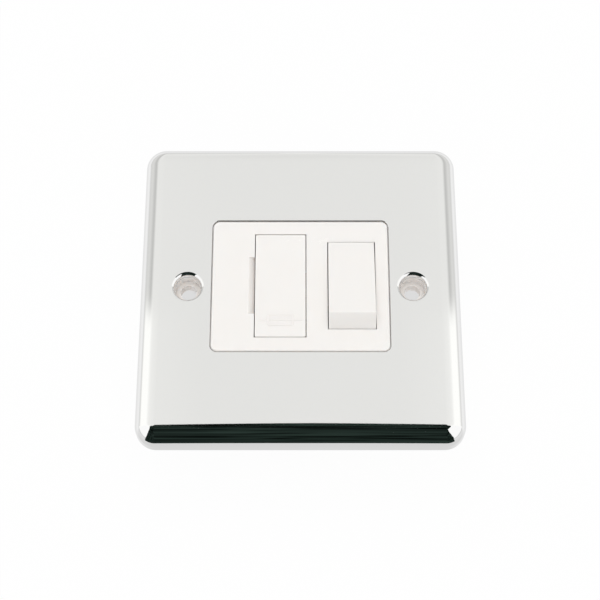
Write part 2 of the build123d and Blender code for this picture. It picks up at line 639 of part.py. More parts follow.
POLES = {"live": LIVE_X, "neutral": NEUTRAL_X}
NODES = {
    "face_plate": face_plate(),
    "front_moulding": front_moulding(),
    "rear_housing": rear_housing(),
    "assembly_screws": assembly_screws(),
    "live_supply_terminal": live_supply_terminal(),
    "live_load_terminal": live_load_terminal(),
    "neutral_supply_terminal": neutral_supply_terminal(),
    "neutral_load_terminal": neutral_load_terminal(),
    "upper_earth_terminal": terminal_block(0, 1, SHELF_UNDER - STRAP_METAL),
    "lower_earth_terminal": terminal_block(0, -1, SHELF_UNDER),
    "terminal_screws": terminal_screws(),
    "earth_strap": earth_strap(),
    "earth_link": earth_link(),
    "upper_fuse_clip": fuse_clip(1, LIVE_X + BUS_W / 2, BUS_TOP - CLIP_METAL / 2),
    "lower_fuse_clip": fuse_clip(-1, -TERMINAL_PITCH - BUS_W / 2, BUS_TOP + CLIP_METAL / 2),
    "rocker": rocker(),
    "fuse_carrier": fuse_carrier(),
    "fuse_barrel": fuse_barrel(),
    "upper_fuse_cap": fuse_cap(1),
    "lower_fuse_cap": fuse_cap(-1),
}
for pole, pole_x in POLES.items():
    NODES[pole + "_fixed_contact"] = fixed_contact(pole_x)
    NODES[pole + "_moving_contact"] = moving_contact(pole_x)
    NODES[pole + "_contact_arm"] = contact_arm(pole_x)
    NODES[pole + "_plunger"] = plunger(pole_x - ROCKER_X)
    NODES[pole + "_spring"] = spring(pole_x - ROCKER_X)

os.makedirs("parts", exist_ok=True)
for name, shape in NODES.items():
    export_step(shape, "parts/" + name + ".step")
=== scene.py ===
import json
from math import cos, pi, radians, sin, tan
import bpy
import numpy as np
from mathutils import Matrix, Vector
from mathutils.geometry import delaunay_2d_cdt


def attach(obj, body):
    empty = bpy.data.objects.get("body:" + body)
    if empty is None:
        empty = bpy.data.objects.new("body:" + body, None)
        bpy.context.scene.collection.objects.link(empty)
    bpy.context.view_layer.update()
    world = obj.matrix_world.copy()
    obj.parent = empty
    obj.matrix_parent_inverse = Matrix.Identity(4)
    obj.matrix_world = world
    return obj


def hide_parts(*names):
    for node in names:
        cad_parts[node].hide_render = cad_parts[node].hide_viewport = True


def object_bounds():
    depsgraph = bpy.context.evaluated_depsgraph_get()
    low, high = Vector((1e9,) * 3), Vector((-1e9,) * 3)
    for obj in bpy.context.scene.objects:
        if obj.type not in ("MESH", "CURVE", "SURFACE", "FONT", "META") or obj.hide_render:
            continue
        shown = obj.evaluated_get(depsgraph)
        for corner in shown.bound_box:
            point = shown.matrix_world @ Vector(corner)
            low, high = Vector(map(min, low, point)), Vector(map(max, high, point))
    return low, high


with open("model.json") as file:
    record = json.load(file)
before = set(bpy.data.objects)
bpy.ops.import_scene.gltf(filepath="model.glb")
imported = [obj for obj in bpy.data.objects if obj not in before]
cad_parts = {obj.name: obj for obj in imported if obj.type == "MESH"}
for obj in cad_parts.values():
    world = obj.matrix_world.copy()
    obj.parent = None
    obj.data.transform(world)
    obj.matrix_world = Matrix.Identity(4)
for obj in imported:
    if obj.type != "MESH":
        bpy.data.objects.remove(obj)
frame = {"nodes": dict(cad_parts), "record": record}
CAD_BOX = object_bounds()
NODES = frame["nodes"]
MM = 0.001

# Pressed plate, in millimetres, as in the part's source
PLATE_HALF = 43.0
PLATE_FACE = 7.5
PLATE_SHEET = 1.0
PLATE_EDGE_R = 4.6
PLATE_CORNER_R = 5.6
OPENING_HALF = (23.9, 19.05)
OPENING_Y = 0.55
OPENING_R = 2.0
FIXING_X = 30.15
CUP_R = 3.5
CUP_FLOOR = 6.1
CUP_ROLL_R = 1.0
PILLAR_PLACES = ((-15.0, -27.9), (-15.0, 27.9), (15.0, -27.9), (15.0, 27.9))
PILLAR_R = 2.3
PILLAR_BORE_R = 1.46
PILLAR_LOW = 1.0
PILLAR_BORE_ROOF = 0.1

# The plate's fine rounding, in millimetres and degrees, which the solids do not have
SHEET_LIP_R = 0.14
CROWN_RUN = 1.25
CROWN_SLOPE = 3.7
ROLL_R = 4.55

# Steps of the plate's profiles, and how near points count as one
CROWN_STEPS = 12
ROLL_STEPS = 36
BACK_ROLL_STEPS = 24
SHEET_LIP_STEPS = 4
CUP_STEPS = 20
PILLAR_STEPS = 32
MERGE_DIGITS = 3
SHEET_CLOSE = 1e-6


# Shells: patches of surface with their own true normals, joined into one mesh

def patch(points, normals, closed=False):
    """A grid of points (rows, columns, 3) in millimetres with the surface's true normal at each.
    Each cell is one quad; with closed the last row is joined to the first."""
    rows, cols = points.shape[:2]
    index = np.arange(rows * cols).reshape(rows, cols)
    after = np.roll(index, -1, axis=0) if closed else index[1:]
    here = index if closed else index[:-1]
    quads = np.stack([here[:, :-1], after[:, :-1], after[:, 1:], here[:, 1:]], axis=-1).reshape(-1, 4)
    flat, out = points.reshape(-1, 3), normals.reshape(-1, 3)
    return flat, out, turned_out(flat, out, quads)


def turned_out(points, normals, faces):
    """The faces, each turned so that its own normal agrees with the surface's."""
    corner = points[faces]
    across = np.cross(corner[:, 2] - corner[:, 0], corner[:, -1] - corner[:, 1])
    inward = np.einsum("ij,ij->i", across, normals[faces].sum(axis=1)) < 0
    faces = faces.copy()
    faces[inward] = faces[inward][:, ::-1]
    return faces


def shell(name, patches, body):
    """One mesh from several patches: points within a thousandth of a millimetre are merged, a quad
    with two corners on one point becomes a triangle, and every face corner keeps the normal of its
    own patch, so round faces look round and edges stay crisp."""
    points = np.concatenate([p for p, _, _ in patches])
    _, first, merged = np.unique(
        np.round(points, MERGE_DIGITS), axis=0, return_index=True, return_inverse=True)
    merged = merged.reshape(-1)
    faces, corner_normals, start = [], [], 0
    for p, n, f in patches:
        joined = merged[f + start]
        distinct = joined != np.roll(joined, 1, axis=1)
        for corners in range(3, f.shape[1] + 1):
            rows = distinct.sum(axis=1) == corners
            chosen = distinct[rows]
            faces += joined[rows][chosen].reshape(-1, corners).tolist()
            corner_normals.append(n[f[rows]][chosen])
        start += len(p)
    mesh = bpy.data.meshes.new(name)
    mesh.from_pydata((points[first] * MM).tolist(), [], faces)
    mesh.shade_smooth()
    mesh.normals_split_custom_set(np.concatenate(corner_normals).tolist())
    piece = bpy.data.objects.new(name, mesh)
    bpy.context.scene.collection.objects.link(piece)
    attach(piece, body)
    return piece


def rounded_loop(half_x, half_y, radius, corner_steps=24, side_steps=24):
    """A rounded rectangle walked anticlockwise: four quarter circles at the corners, joined by
    straight sides. Gives the points and the outward direction at each."""
    turn = np.linspace(0, pi / 2, corner_steps + 1)
    points, outs = [], []
    for k, (sx, sy) in enumerate(((1, 1), (-1, 1), (-1, -1), (1, -1))):
        angle = turn + k * pi / 2
        out = np.stack([np.cos(angle), np.sin(angle)], axis=1)
        centre = np.array([sx * (half_x - radius), sy * (half_y - radius)])
        points.append(centre + radius * out)
        outs.append(out)
    loops, loop_outs = [], []
    for k in range(4):
        loops.append(points[k])
        loop_outs.append(outs[k])
        t = np.linspace(0, 1, side_steps + 1)[1:-1, None]
        loops.append(points[k][-1] * (1 - t) + points[(k + 1) % 4][0] * t)
        loop_outs.append(np.repeat(outs[k][-1:], len(t), axis=0))
    return np.concatenate(loops), np.concatenate(loop_outs)


def carried_round(half_x, half_y, radius, profile, tilt):
    """A profile of (inset, height) carried round a rounded rectangle. At each step the loop is the
    rectangle set in by the inset, so its corners keep their centres. tilt gives the normal's
    (outward, upward) parts at each step of the profile."""
    _, out = rounded_loop(half_x, half_y, radius)
    rows = [rounded_loop(half_x - d, half_y - d, radius - d)[0] for d in profile[:, 0]]
    plan = np.stack(rows, axis=1)
    height = np.broadcast_to(profile[:, 1], plan.shape[:2])
    points = np.dstack([plan, height])
    upward = np.broadcast_to(tilt[:, 1], plan.shape[:2])
    normals = np.dstack([out[:, None, :] * tilt[None, :, :1], upward])
    return patch(points, normals, closed=True)


def spun(x, y, profile, tilt, steps=64):
    """A profile of (radius, height) turned about an upright axis. tilt gives the normal's
    (outward, upward) parts at each step of the profile."""
    angle = np.linspace(0, 2 * pi, steps, endpoint=False)
    ring = np.stack([np.cos(angle), np.sin(angle)], axis=1)
    plan = ring[:, None, :] * profile[None, :, :1] + np.array([x, y])
    height = np.broadcast_to(profile[:, 1], plan.shape[:2])
    points = np.dstack([plan, height])
    upward = np.broadcast_to(tilt[:, 1], plan.shape[:2])
    normals = np.dstack([ring[:, None, :] * tilt[None, :, :1], upward])
    return patch(points, normals, closed=True)


def circle_at(angle, radius):
    """The points of a circle about the axis at the given angles."""
    return radius * np.column_stack([np.cos(angle), np.sin(angle)])


def circle(x, y, radius, steps=64):
    """A circle's points in plan."""
    return circle_at(np.linspace(0, 2 * pi, steps, endpoint=False), radius) + np.array([x, y])


def inside_loop(points, loop):
    """True for each point that lies within a closed loop: a ray to the right crosses it an odd
    number of times."""
    a, b = loop, np.roll(loop, -1, axis=0)
    x, y = points[:, :1], points[:, 1:]
    spans = (a[:, 1] > y) != (b[:, 1] > y)
    rise = np.where(b[:, 1] == a[:, 1], 1.0, b[:, 1] - a[:, 1])
    cross_x = a[:, 0] + (y - a[:, 1]) / rise * (b[:, 0] - a[:, 0])
    return (spans & (cross_x > x)).sum(axis=1) % 2 == 1


def flat_sheet(outer, holes, height, up):
    """A flat face between an outer loop and some holes: the loops' points are joined into
    triangles, and those that fall in a hole or outside are left out."""
    loops = [outer] + holes
    points = np.concatenate(loops)
    turns = np.split(np.arange(len(points)), np.cumsum([len(loop) for loop in loops])[:-1])
    edges = np.concatenate([np.column_stack([turn, np.roll(turn, -1)]) for turn in turns])
    made = delaunay_2d_cdt(points.tolist(), edges.tolist(), [], 0, SHEET_CLOSE)
    flat, faces = np.array(made[0]), np.array(made[2])
    middle = flat[faces].mean(axis=1)
    keep = inside_loop(middle, outer)
    for hole in holes:
        keep &= ~inside_loop(middle, hole)
    faces = faces[keep]
    points = np.column_stack([flat, np.full(len(flat), height)])
    normals = np.tile([0.0, 0.0, up], (len(flat), 1))
    return points, normals, turned_out(points, normals, faces)


def straight(a, b, tilt, steps=1):
    """A straight run of a profile from a to b, with one normal."""
    t = np.linspace(0, 1, steps + 1)[:, None]
    run = np.array(a) * (1 - t) + np.array(b) * t
    return run, np.tile(np.array(tilt, float), (steps + 1, 1))


def arc(centre, radius, start, end, hollow=False, steps=24):
    """A round run of a profile: angles in degrees, 0 outward and 90 up. The normal points away
    from the centre, or towards it where the run is hollow."""
    angle = np.radians(np.linspace(start, end, steps + 1))
    out = np.stack([np.cos(angle), np.sin(angle)], axis=1)
    return np.array(centre) + radius * out, -out if hollow else out


def flip_plan(made):
    """The same patch with the sideways part of its normals turned round, for a wall that faces in."""
    points, normals, faces = made
    normals = normals * np.array([-1.0, -1.0, 1.0])
    return points, normals, turned_out(points, normals, faces)


def plate_skin():
    """Pressed plate: a soft crown that falls as the square of its run, a round roll and a skirt
    carried round a rounded square, the sheet's rounded lip, the same in reverse inside, a flat face
    with its opening, and the two drawn cups and four pillars as profiles turned about upright axes."""
    h, face, sheet = PLATE_HALF, PLATE_FACE, PLATE_SHEET
    back = face - sheet
    ox, oy = OPENING_HALF
    lip = SHEET_LIP_R
    square = (h, h, PLATE_CORNER_R)
    parts = []

    def outer(run):
        """Adds a run of the outer profile, carried round the plate's edge."""
        profile, tilt = run
        inset = np.column_stack([-profile[:, 0], profile[:, 1]])
        parts.append(carried_round(*square, inset, tilt))

    slope = radians(CROWN_SLOPE)
    crown_in = ROLL_R * (1 - sin(slope)) + CROWN_RUN
    crown_drop = CROWN_RUN * tan(slope) / 2
    t = np.linspace(0, 1, CROWN_STEPS + 1)
    fall = np.arctan(t * tan(slope))
    crown = np.column_stack([t * CROWN_RUN - crown_in, face - crown_drop * t * t])
    outer((crown, np.column_stack([np.sin(fall), np.cos(fall)])))
    bend = (-ROLL_R, face - crown_drop - ROLL_R * cos(slope))
    outer(arc(bend, ROLL_R, 90 - CROWN_SLOPE, 0, steps=ROLL_STEPS))
    outer(straight((0, bend[1]), (0, lip), (1, 0), steps=2))
    roll = (-PLATE_EDGE_R, face - PLATE_EDGE_R)
    outer(arc((-lip, lip), lip, 0, -90, steps=SHEET_LIP_STEPS))
    outer(straight((-lip, 0), (lip - sheet, 0), (0, -1)))
    outer(arc((lip - sheet, lip), lip, -90, -180, steps=SHEET_LIP_STEPS))
    outer(straight((-sheet, lip), (-sheet, roll[1]), (-1, 0), steps=2))
    outer(arc(roll, PLATE_EDGE_R - sheet, 0, 90, hollow=True, steps=BACK_ROLL_STEPS))
    top_half, back_half = h - crown_in, h - PLATE_EDGE_R
    top_edge = rounded_loop(top_half, top_half, PLATE_CORNER_R - crown_in)[0]
    back_edge = rounded_loop(back_half, back_half, PLATE_CORNER_R - PLATE_EDGE_R)[0]

    def opening(run):
        """Adds a run of the opening's wall, which faces in."""
        profile, tilt = run
        tilt = tilt * np.array([-1.0, 1.0])
        inset = np.column_stack([-profile[:, 0], profile[:, 1]])
        points, normals, faces = flip_plan(carried_round(ox, oy, OPENING_R, inset, tilt))
        parts.append((points + np.array([0, OPENING_Y, 0]), normals, faces))

    opening(arc((lip, face - lip), lip, 90, 180, steps=SHEET_LIP_STEPS))
    opening(straight((0, face - lip), (0, back), (-1, 0)))
    top_opening = rounded_loop(ox + lip, oy + lip, OPENING_R + lip)[0] + np.array([0, OPENING_Y])
    back_opening = rounded_loop(ox, oy, OPENING_R)[0] + np.array([0, OPENING_Y])

    cup_edge = CUP_R + CUP_ROLL_R
    top_holes, back_holes = [top_opening], [back_opening]
    for x in (-FIXING_X, FIXING_X):
        for run in (
            arc((cup_edge, face - CUP_ROLL_R), CUP_ROLL_R, 90, 180, steps=CUP_STEPS),
            straight((CUP_R, face - CUP_ROLL_R), (CUP_R, CUP_FLOOR), (-1, 0)),
            straight((CUP_R, CUP_FLOOR), (CUP_R + sheet, CUP_FLOOR), (0, -1)),
            straight((CUP_R + sheet, CUP_FLOOR), (CUP_R + sheet, back), (1, 0)),
        ):
            parts.append(spun(x, 0, *run))
        top_holes.append(circle(x, 0, cup_edge))
        back_holes.append(circle(x, 0, CUP_R + sheet))
    for x, y in PILLAR_PLACES:
        bore_top = back - PILLAR_BORE_ROOF
        for run in (
            straight((PILLAR_R, back), (PILLAR_R, PILLAR_LOW), (1, 0)),
            straight((PILLAR_R, PILLAR_LOW), (PILLAR_BORE_R, PILLAR_LOW), (0, -1)),
            straight((PILLAR_BORE_R, PILLAR_LOW), (PILLAR_BORE_R, bore_top), (-1, 0)),
            straight((PILLAR_BORE_R, bore_top), (0, bore_top), (0, -1)),
        ):
            parts.append(spun(x, y, *run, steps=PILLAR_STEPS))
        back_holes.append(circle(x, y, PILLAR_R, PILLAR_STEPS))
    parts.append(flat_sheet(top_edge, top_holes, face, 1.0))
    parts.append(flat_sheet(back_edge, back_holes, back, -1.0))
    return shell("plate_skin", parts, "unit")


plate = plate_skin()
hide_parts("face_plate")

# Screws, in millimetres, as in the part's source, with threads of the usual pitch

SCREW_SLOT = 0.8
THREAD_SHARE = 0.45
TERMINAL_SCREW = {"radius": 1.9, "length": 5.6, "head_r": 3.0, "head_h": 1.8, "pitch": 0.7}
TERMINAL_SCREW_PLACES = [(x, y) for x in (-15.3, 0.0, 15.3) for y in (-18.6, 18.6)]
TERMINAL_SCREW_Z = -17.4
ASSEMBLY_SCREW = {"radius": 1.4, "length": 7.0, "head_r": 2.7, "head_h": 1.7, "pitch": 0.5}
ASSEMBLY_SCREW_Z = -2.5
STEPS_PER_PITCH = 8
RIM_STEPS = 32
GAP_STEPS = 8
HEAD_EDGE_STEPS = 8


def thread(radius, length, pitch, steps=48):
    """A screw thread as a closed grid of points: a cylinder whose radius falls from its crest by a
    triangle wave of height over pitch less turn, with its end bevelled by a quarter of the radius."""
    turn = np.linspace(0, 1, steps, endpoint=False)
    height = np.linspace(0, length, int(STEPS_PER_PITCH * length / pitch) + 1)
    t, z = np.meshgrid(turn, height, indexing="ij")
    wave = 2 * np.abs((z / pitch - t) % 1 - 0.5)
    r = radius - np.maximum(THREAD_SHARE * pitch * wave, z - length + radius / 4)
    return np.dstack([r * np.cos(2 * pi * t), r * np.sin(2 * pi * t), z])


def closed_normals(points):
    """The normal at each point of a grid closed along its rows: the cross product of its two ways."""
    round_way = np.roll(points, -1, axis=0) - np.roll(points, 1, axis=0)
    normals = np.cross(round_way, np.gradient(points, axis=1))
    return normals / np.linalg.norm(normals, axis=2, keepdims=True)


def half_turn(made):
    """The same patch turned half way round the upright axis."""
    points, normals, faces = made
    turned = np.array([-1.0, -1.0, 1.0])
    return points * turned, normals * turned, faces


def around_axis(angle, profile, tilt):
    """A profile of (radius, height) turned about the upright axis through its own angles at each
    step: angle is a grid (turns, steps)."""
    ring = np.dstack([np.cos(angle), np.sin(angle)])
    height = np.broadcast_to(profile[:, 1], angle.shape)
    upward = np.broadcast_to(tilt[:, 1], angle.shape)
    points = np.dstack([ring * profile[None, :, :1], height])
    return patch(points, np.dstack([ring * tilt[None, :, :1], upward]))


def screw_patches(radius, length, head_r, head_h, pitch):
    """A slotted cheese-head screw that points up: a thread, a flat under the head, and two half rims
    with a rounded end edge, parted by a slot with a flat floor and two flat walls."""
    helix = thread(radius, length, pitch)
    parts = [patch(helix, closed_normals(helix), closed=True)]
    parts.append(flat_sheet(helix[:, -1, :2], [], length, 1.0))
    half, floor, soft = SCREW_SLOT / 2, SCREW_SLOT - head_h, head_h / 4
    upper = straight((head_r, 0), (head_r, floor), (1, 0))
    lower = straight((head_r, floor), (head_r, soft - head_h), (1, 0))
    edge = arc((head_r - soft, soft - head_h), soft, 0, -90, steps=HEAD_EDGE_STEPS)
    profile = np.concatenate([upper[0], lower[0][1:], edge[0][1:]])
    tilt = np.concatenate([upper[1], lower[1][1:], edge[1][1:]])
    start = np.arcsin(half / profile[:, 0])
    share = np.linspace(0, 1, RIM_STEPS + 1)[:, None]
    rim_angle = start + (pi - 2 * start) * share
    gap_angle = np.linspace(-start[0], start[0], GAP_STEPS + 1)
    gap_angle = np.repeat(gap_angle[:, None], 2, axis=1)
    rim = around_axis(rim_angle, profile, tilt)
    gap = around_axis(gap_angle, *upper)
    wall_x = np.sqrt(profile[1:, 0] ** 2 - half**2)
    wall = np.stack([np.column_stack([side * wall_x, np.full(len(wall_x), half), profile[1:, 1]])
                     for side in (-1, 1)], axis=1)
    wall = patch(wall, np.tile([0.0, -1.0, 0.0], (*wall.shape[:2], 1)))
    end = flat_sheet(circle_at(rim_angle[:, -1], profile[-1, 0]), [], -head_h, -1.0)
    for made in (rim, gap, wall, end):
        parts += [made, half_turn(made)]
    rim_turn, gap_turn = rim_angle[:-1, 0], gap_angle[:-1, 0]
    whole = np.concatenate([gap_turn, rim_turn, gap_turn + pi, rim_turn + pi])
    parts.append(flat_sheet(circle_at(whole, head_r), [helix[:, 0, :2]], 0.0, 1.0))
    ends = np.concatenate([gap_angle[:, 0], gap_angle[:, 0] + pi])
    parts.append(flat_sheet(circle_at(ends, head_r), [], floor, -1.0))
    return parts


def screw_set(name, node, sizes, places, level):
    """The same screw at several places, with the top of its head at one level."""
    made = screw_patches(**sizes)
    parts = [(p + np.array([x, y, level]), n, f) for x, y in places for p, n, f in made]
    piece = shell(name, parts, "unit")
    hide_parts(node)
    return piece


screws = [
    screw_set("threaded_terminal_screws", "terminal_screws", TERMINAL_SCREW,
              TERMINAL_SCREW_PLACES, TERMINAL_SCREW_Z),
    screw_set("threaded_assembly_screws", "assembly_screws", ASSEMBLY_SCREW,
              PILLAR_PLACES, ASSEMBLY_SCREW_Z),
]

# Copies of CAD pieces whose round faces are shaded round

SMOOTH_TURN = 35.0
CAD_DIGITS = 4
LEAST_AREA = 1e-12
LEAST_NORMAL = 1e-9


def same_corners(index):
    """Every pair of face corners that stand on one point: the corners are sorted by point, and each
    is repeated against all the corners of its own run."""
    order = np.argsort(index, kind="stable")
    _, start, count = np.unique(index[order], return_index=True, return_counts=True)
    run = np.repeat(count, count)
    one = np.repeat(np.arange(len(index)), run)
    step = np.arange(len(one)) - np.repeat(np.cumsum(run) - run, run)
    other = np.repeat(np.repeat(start, count), run) + step
    return order[one], order[other]


def smoothed(node, body):
    """A CAD piece with its loose triangles merged. Each corner's normal is the mean of the faces round
    its point that turn from its own by less than SMOOTH_TURN, weighted by their areas."""
    source = NODES[node].data
    points = np.empty(3 * len(source.vertices))
    source.vertices.foreach_get("co", points)
    corners = np.empty(len(source.loops), dtype=np.int64)
    source.loops.foreach_get("vertex_index", corners)
    points = points.reshape(-1, 3) / MM
    keys, merged = np.unique(np.round(points, CAD_DIGITS), axis=0, return_inverse=True)
    faces = merged.reshape(-1)[corners].reshape(-1, 3)
    faces = faces[(faces != np.roll(faces, 1, axis=1)).all(axis=1)]
    a, b, c = keys[faces[:, 0]], keys[faces[:, 1]], keys[faces[:, 2]]
    weighted = np.cross(b - a, c - a)
    area = np.linalg.norm(weighted, axis=1, keepdims=True)
    own = np.repeat(weighted / np.maximum(area, LEAST_AREA), 3, axis=0)
    weighted = np.repeat(weighted, 3, axis=0)
    one, other = same_corners(faces.reshape(-1))
    close = np.einsum("ij,ij->i", own[one], own[other]) > cos(radians(SMOOTH_TURN))
    normals = np.zeros_like(own)
    np.add.at(normals, one[close], weighted[other[close]])
    size = np.linalg.norm(normals, axis=1, keepdims=True)
    normals = np.where(size > LEAST_NORMAL, normals / np.maximum(size, LEAST_NORMAL), own)
    mesh = bpy.data.meshes.new(node + "_smooth")
    mesh.from_pydata((keys * MM).tolist(), [], faces.tolist())
    mesh.shade_smooth()
    mesh.normals_split_custom_set(normals.tolist())
    piece = bpy.data.objects.new(node + "_smooth", mesh)
    bpy.context.scene.collection.objects.link(piece)
    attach(piece, body)
    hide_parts(node)
    return piece


SLOTS = {row["node"]: row["material_slot"] for row in frame["record"]["subparts"]}
BODIES = {
    node: body for body, nodes in frame["record"]["behaviour"]["bodies"].items() for node in nodes
}
SKINNED = ("face_plate", "terminal_screws", "assembly_screws")
copies = [smoothed(node, BODIES[node]) for node in SLOTS if node not in SKINNED]

# Sign on the fuse carrier, in millimetres

MARK_PLACE = (-5.35, -9.5)
MARK_HALF = (3.3, 1.35)
MARK_LEAD = 6.0
MARK_LINE = 0.22
MARK_RISE = 0.09
MARK_ROUND = 0.3
MARK_SINK = 0.01
MARK_TURN = 20


def half_round(end):
    """The section of a low bead, from its foot round to the given angle: a half ellipse whose half
    width is the line and whose height is the rise. Gives the points and the normals' parts."""
    turn = np.radians(np.linspace(0, end, end // MARK_TURN + 1))
    profile = np.column_stack([MARK_LINE * (1 - np.cos(turn)), MARK_RISE * np.sin(turn)])
    tilt = np.column_stack([MARK_RISE * np.cos(turn), MARK_LINE * np.sin(turn)])
    return profile, tilt / np.linalg.norm(tilt, axis=1, keepdims=True)


def mark_patch(made):
    """A patch of the sign, drawn about its middle, set in its place with its foot sunk a little."""
    points, normals, faces = made
    return points + np.array([*MARK_PLACE, PLATE_FACE - MARK_SINK]), normals, faces


def fuse_mark():
    """The usual sign for a fuse: a low bead carried round a rounded box, and a straight bead with round
    ends drawn through it from end to end, each closed underneath."""
    box = (MARK_HALF[0] + MARK_LINE, MARK_HALF[1] + MARK_LINE, MARK_ROUND + MARK_LINE)
    dash = (MARK_LEAD, MARK_LINE, MARK_LINE)
    box_inside = rounded_loop(*(size - 2 * MARK_LINE for size in box))[0]
    made = [
        carried_round(*box, *half_round(180)),
        flat_sheet(rounded_loop(*box)[0], [box_inside], 0.0, -1.0),
        carried_round(*dash, *half_round(90)),
        flat_sheet(rounded_loop(*dash)[0], [], 0.0, -1.0),
    ]
    return shell("fuse_mark", [mark_patch(each) for each in made], "carrier")


mark = fuse_mark()

# Lip at the top of the rocker's well, in millimetres

PIVOT_Y = OPENING_Y
PIVOT_Z = 1.2
WELL_X = (7.26, 20.15)
WELL_R = 14.177
LIP_REACH = 0.14
LIP_SINK = 0.02
LIP_LEVELS = (6.9, 7.48)


def bar_across(ring, x):
    """A straight bar: a ring of (y, z) points, anticlockwise seen from +X, carried between two places
    along X and closed with flat ends. Each side's normal is its run turned by a right angle."""
    after = np.roll(ring, -1, axis=0)
    sides = np.stack([np.stack([ring, after], axis=1)] * 2, axis=1)
    across = np.broadcast_to(np.array(x)[None, :, None, None], (*sides.shape[:3], 1))
    points = np.concatenate([across, sides], axis=-1)
    run = after - ring
    out = np.column_stack([np.zeros(len(ring)), run[:, 1], -run[:, 0]])
    parts = [patch(p, np.tile(n / np.linalg.norm(n), (2, 2, 1))) for p, n in zip(points, out)]
    for place, way in zip(x, (-1.0, 1.0)):
        end = np.column_stack([np.full(len(ring), place), ring])
        normals = np.tile([way, 0.0, 0.0], (len(ring), 1))
        parts.append((end, normals, turned_out(end, normals, np.arange(len(ring))[None, :])))
    return parts


def rocker_lip():
    """A thin lip that narrows the gap above the rocker: its section lies between two circles about the
    rocker's pivot and between two levels."""
    low, top = (z - PIVOT_Z for z in LIP_LEVELS)
    inner, outer = WELL_R - LIP_REACH, WELL_R + LIP_SINK
    corners = ((inner, low), (outer, low), (outer, top), (inner, top))
    ring = np.array([(PIVOT_Y + (r * r - z * z) ** 0.5, PIVOT_Z + z) for r, z in corners])
    return shell("rocker_lip", bar_across(ring, WELL_X), "unit")


lip = rocker_lip()

# Materials

SLOW_NOISE = {"Detail": 3.0, "Roughness": 0.55}
FINE_NOISE = {"Detail": 4.0, "Roughness": 0.6}
FINE_SHARE = 0.4
MOTTLE_RANGE = (0.3, 0.7)
GLOW_TINT = (1.0, 0.97, 0.94)
SURFACE_IOR = 1.5


def new_node(tree, kind, inputs=None, **settings):
    """A node of a shader tree with its settings and its unlinked inputs."""
    made = tree.nodes.new(kind)
    for key, value in settings.items():
        setattr(made, key, value)
    for key, value in (inputs or {}).items():
        made.inputs[key].default_value = value
    return made


def ranged(tree, source, low, high, start=0.0, end=1.0):
    """A value carried from one range to another and held at its ends."""
    made = new_node(tree, "ShaderNodeMapRange", {
        "From Min": low, "From Max": high, "To Min": start, "To Max": end})
    tree.links.new(source, made.inputs["Value"])
    return made.outputs["Result"]


def empty_material(name):
    """A material with no nodes but its output. Gives the material, its tree and the output."""
    material = bpy.data.materials.new(name)
    material.use_nodes = True
    tree = material.node_tree
    tree.nodes.clear()
    return material, tree, new_node(tree, "ShaderNodeOutputMaterial")


def effect(name, inputs, outputs):
    """An empty shader node group with named inputs (name, start value) and outputs."""
    tree = bpy.data.node_groups.new(name, "ShaderNodeTree")
    for label, value in inputs:
        kind = "NodeSocketColor" if isinstance(value, tuple) else "NodeSocketFloat"
        tree.interface.new_socket(label, in_out="INPUT", socket_type=kind).default_value = value
    for label, kind in outputs:
        tree.interface.new_socket(label, in_out="OUTPUT", socket_type=kind)
    return tree, tree.nodes.new("NodeGroupInput"), tree.nodes.new("NodeGroupOutput")


def mottle_effect():
    """Slow drift of tone and fine grain: two sizes of noise, which give a tone, a roughness and a
    height."""
    tree, given, result = effect(
        "mottle",
        [("Slow Scale", 60.0), ("Fine Scale", 1500.0), ("Light", (1, 1, 1, 1)),
         ("Dark", (0.9, 0.9, 0.9, 1)), ("Smooth Roughness", 0.2), ("Rough Roughness", 0.3)],
        [("Color", "NodeSocketColor"), ("Roughness", "NodeSocketFloat"), ("Height", "NodeSocketFloat")],
    )
    link = tree.links.new
    where = new_node(tree, "ShaderNodeTexCoord")
    slow = new_node(tree, "ShaderNodeTexNoise", SLOW_NOISE)
    fine = new_node(tree, "ShaderNodeTexNoise", FINE_NOISE)
    link(where.outputs["Object"], slow.inputs["Vector"])
    link(where.outputs["Object"], fine.inputs["Vector"])
    link(given.outputs["Slow Scale"], slow.inputs["Scale"])
    link(given.outputs["Fine Scale"], fine.inputs["Scale"])
    both = new_node(tree, "ShaderNodeMix", {"Factor": FINE_SHARE})
    link(slow.outputs["Fac"], both.inputs["A"])
    link(fine.outputs["Fac"], both.inputs["B"])
    spread = ranged(tree, both.outputs["Result"], *MOTTLE_RANGE)
    tone = new_node(tree, "ShaderNodeMix", data_type="RGBA")
    link(spread, tone.inputs["Factor"])
    link(given.outputs["Dark"], tone.inputs["A"])
    link(given.outputs["Light"], tone.inputs["B"])
    link(tone.outputs["Result"], result.inputs["Color"])
    rough = new_node(tree, "ShaderNodeMix")
    link(spread, rough.inputs["Factor"])
    link(given.outputs["Smooth Roughness"], rough.inputs["A"])
    link(given.outputs["Rough Roughness"], rough.inputs["B"])
    link(rough.outputs["Result"], result.inputs["Roughness"])
    link(fine.outputs["Fac"], result.inputs["Height"])
    return tree


MOTTLE = mottle_effect()


